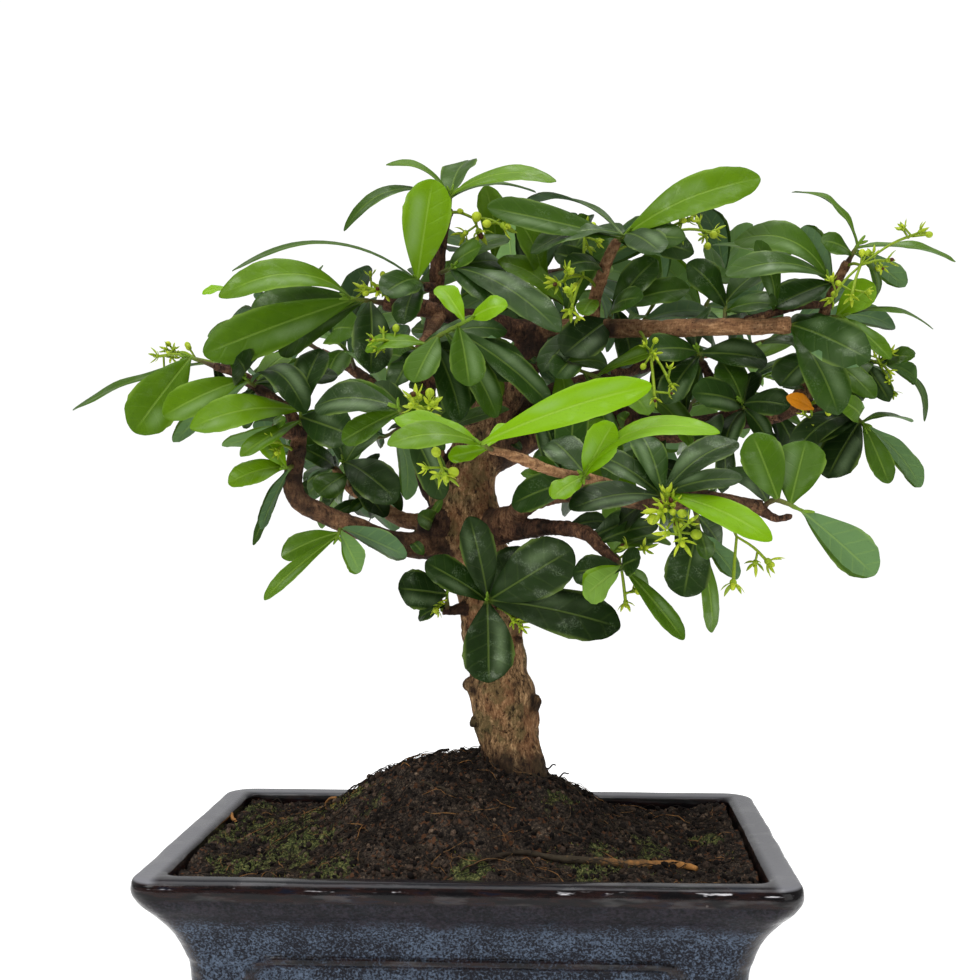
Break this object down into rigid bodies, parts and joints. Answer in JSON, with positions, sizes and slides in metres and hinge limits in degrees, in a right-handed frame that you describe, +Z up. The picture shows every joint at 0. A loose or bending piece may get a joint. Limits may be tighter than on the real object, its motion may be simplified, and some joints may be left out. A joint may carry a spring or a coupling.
{
  "type": "potted bonsai",
  "caption": "Potted fukien tea bonsai: forked trunk and pruned limbs, glossy spoon-shaped leaves and starry calyces, mounded peat, rectangular glazed pot with a rolled rim.",
  "frame": {"origin": "under the middle of the whole's bounding box, on the plane the pot's feet stand on", "axes": "+Z up, -Y towards the show side, +X to the right as seen from the show side"},
  "size_m": [0.3004, 0.2098, 0.3071],
  "materials": {
    "glaze": "gloss",
    "peat": "matte",
    "mesh_plastic": "matte",
    "bark": "matte",
    "root_bark": "matte",
    "leaf": "satin",
    "calyx": "satin"
  },
  "bodies": {
    "root": {"pot": "glaze", "drain_mesh": "mesh_plastic", "soil": "peat", "trunk_and_limbs": "bark", "surface_root": "root_bark", "shoot_leader": "leaf", "shoot_leader_base": "leaf", "shoot_upper_left": "leaf", "shoot_far_left": "leaf", "shoot_left_middle": "leaf", "shoot_left_bend": "leaf", "shoot_left_low": "leaf", "shoot_left_under": "leaf", "shoot_left_heart": "leaf", "shoot_front_left": "leaf", "shoot_young_shoot": "leaf", "shoot_upper_middle": "leaf", "shoot_front_twig_end": "leaf", "shoot_front_twig_middle": "leaf", "shoot_front_heart": "leaf", "shoot_front_hanging": "leaf", "shoot_right_pair": "leaf", "shoot_low_right": "leaf", "shoot_trunk_spur": "leaf", "shoot_low_left_spur": "leaf", "shoot_right_top": "leaf", "shoot_right_shoulder": "leaf", "shoot_right_middle": "leaf", "shoot_far_right": "leaf", "shoot_right_heart": "leaf", "shoot_low_far_right": "leaf", "shoot_right_crook": "leaf", "shoot_mid_right": "leaf", "shoot_bar_middle": "leaf", "shoot_bar_end": "leaf", "shoot_top_spur": "leaf", "shoot_back_left_end": "leaf", "shoot_back_left_upper": "leaf", "shoot_back_left_lower": "leaf", "shoot_back_right_end": "leaf", "shoot_back_right_upper": "leaf", "shoot_back_right_middle": "leaf", "shoot_back_right_lower": "leaf", "shoot_back_top": "leaf", "shoot_back_top_left": "leaf", "shoot_back_middle": "leaf", "shoot_inner_right": "leaf", "shoot_inner_left": "leaf", "shoot_inner_middle": "leaf", "shoot_inner_centre": "leaf", "calyx_spray_far_left": "calyx", "calyx_spray_upper_left": "calyx", "calyx_spray_crown": "calyx", "calyx_spray_top": "calyx", "calyx_spray_right_of_top": "calyx", "calyx_spray_right_end": "calyx", "calyx_spray_front_heart": "calyx", "calyx_spray_low_right": "calyx", "calyx_spray_hanging": "calyx", "calyx_spray_front_left": "calyx"}
  },
  "joints": []
}
